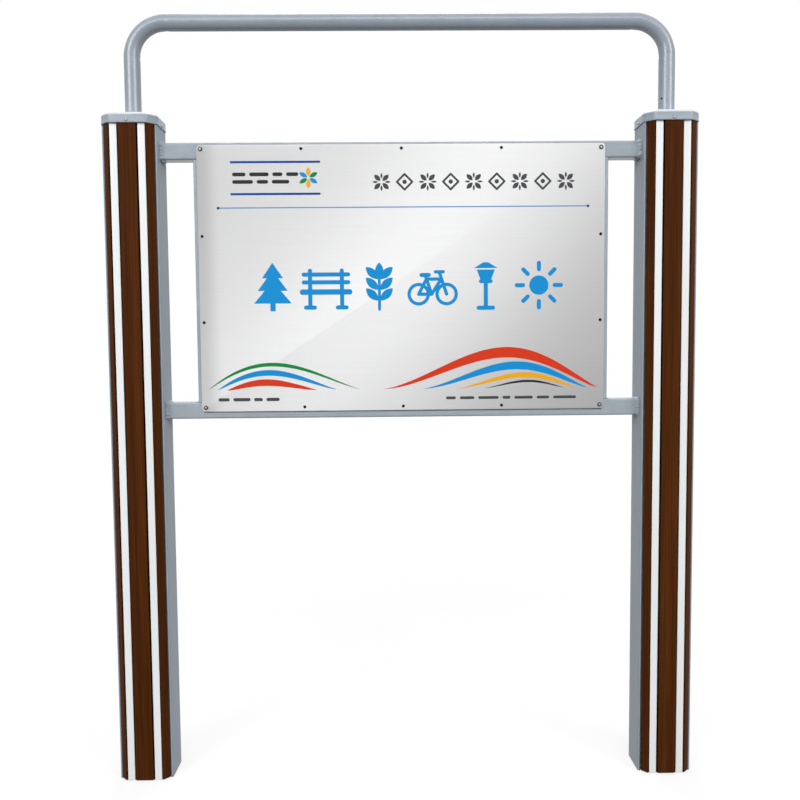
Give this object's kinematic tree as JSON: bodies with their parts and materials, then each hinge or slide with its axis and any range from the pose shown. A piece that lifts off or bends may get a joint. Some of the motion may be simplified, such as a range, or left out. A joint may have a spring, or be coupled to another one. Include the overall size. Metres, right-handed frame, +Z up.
{
  "type": "notice board",
  "caption": "Outdoor notice board: flat riveted panel in a square-tube frame between planked posts with metal caps, and a bent tube rail over the top.",
  "frame": {"origin": "on the ground, midway between the posts and at the middle of their depth", "axes": "+Z up, -Y out of the board's printed face, +X to the right seen from the front"},
  "size_m": [1.7748, 0.1648, 2.311],
  "materials": {
    "grey_paint": "satin powder coat",
    "wood_plastic": "brown wood-plastic with fine vertical grain",
    "light_strip": "satin off-white",
    "silver_sheet": "silver-white printed sheet",
    "rivet_steel": "plain",
    "dark_rivet": "black",
    "plated_screw": "zinc plated",
    "galvanised_steel": "galvanised"
  },
  "bodies": {
    "root": {"board_panel": "silver_sheet", "left_cap": "grey_paint", "left_cap_screw_front": "plated_screw", "left_cap_screw_inner": "plated_screw", "left_cap_screw_outer": "plated_screw", "left_cap_screw_rear": "plated_screw", "left_column": "grey_paint", "left_edge_rivet_1": "dark_rivet", "left_edge_rivet_2": "dark_rivet", "left_foot_plate": "galvanised_steel", "left_front_centre_plank": "wood_plastic", "left_front_inner_plank": "wood_plastic", "left_front_inner_strip": "light_strip", "left_front_outer_plank": "wood_plastic", "left_front_outer_strip": "light_strip", "left_rear_centre_plank": "wood_plastic", "left_rear_inner_plank": "wood_plastic", "left_rear_inner_strip": "light_strip", "left_rear_outer_plank": "wood_plastic", "left_rear_outer_strip": "light_strip", "left_upright": "grey_paint", "lower_beam": "grey_paint", "lower_edge_rivet_1": "dark_rivet", "lower_edge_rivet_2": "dark_rivet", "lower_edge_rivet_3": "dark_rivet", "lower_left_corner_rivet": "rivet_steel", "lower_right_corner_rivet": "rivet_steel", "right_cap": "grey_paint", "right_cap_screw_front": "plated_screw", "right_cap_screw_inner": "plated_screw", "right_cap_screw_outer": "plated_screw", "right_cap_screw_rear": "plated_screw", "right_column": "grey_paint", "right_edge_rivet_1": "dark_rivet", "right_edge_rivet_2": "dark_rivet", "right_foot_plate": "galvanised_steel", "right_front_centre_plank": "wood_plastic", "right_front_inner_plank": "wood_plastic", "right_front_inner_strip": "light_strip", "right_front_outer_plank": "wood_plastic", "right_front_outer_strip": "light_strip", "right_rear_centre_plank": "wood_plastic", "right_rear_inner_plank": "wood_plastic", "right_rear_inner_strip": "light_strip", "right_rear_outer_plank": "wood_plastic", "right_rear_outer_strip": "light_strip", "right_upright": "grey_paint", "top_rail": "grey_paint", "upper_beam": "grey_paint", "upper_edge_rivet_1": "dark_rivet", "upper_edge_rivet_2": "dark_rivet", "upper_edge_rivet_3": "dark_rivet", "upper_left_corner_rivet": "rivet_steel", "upper_right_corner_rivet": "rivet_steel"}
  },
  "joints": []
}
